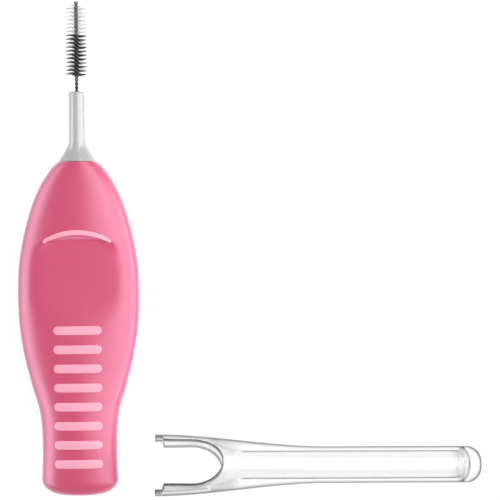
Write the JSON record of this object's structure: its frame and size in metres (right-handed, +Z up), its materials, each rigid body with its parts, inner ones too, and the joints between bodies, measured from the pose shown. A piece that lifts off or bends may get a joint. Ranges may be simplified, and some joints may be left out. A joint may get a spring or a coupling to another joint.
{
  "type": "interdental brush",
  "caption": "Flat soft-grip handle with a white neck, twisted wire with pale and dark bristles, and a clear travel cap taken off and lying beside it.",
  "frame": {"origin": "middle of the flat on the back of the handle, where it lies on the table", "axes": "+Y along the brush towards its tip, +X across the handle, +Z up out of the handle's front"},
  "size_m": [0.0637, 0.0682, 0.0076],
  "materials": {
    "white_plastic": "glossy white",
    "pink_rubber": "satin pink elastomer",
    "light_pink_rubber": "satin light pink elastomer",
    "steel_wire": "fine drawn wire",
    "dark_filament": "black filament",
    "pale_filament": "translucent filament",
    "clear_plastic": "clear, glossy"
  },
  "bodies": {
    "brush": {"neck_core": "white_plastic", "grip": "pink_rubber", "front_arc": "light_pink_rubber", "back_arc": "light_pink_rubber", "grip_bars": "light_pink_rubber", "stem_wire": "steel_wire", "dark_bristles": "dark_filament", "pale_bristles": "pale_filament"},
    "cap": {"travel_cap": "clear_plastic"}
  },
  "joints": [
    {"name": "cap_pull", "type": "slide", "parent": "brush", "child": "cap", "axis": [1, 0, 0], "range_m": [0, 0.032]}
  ]
}
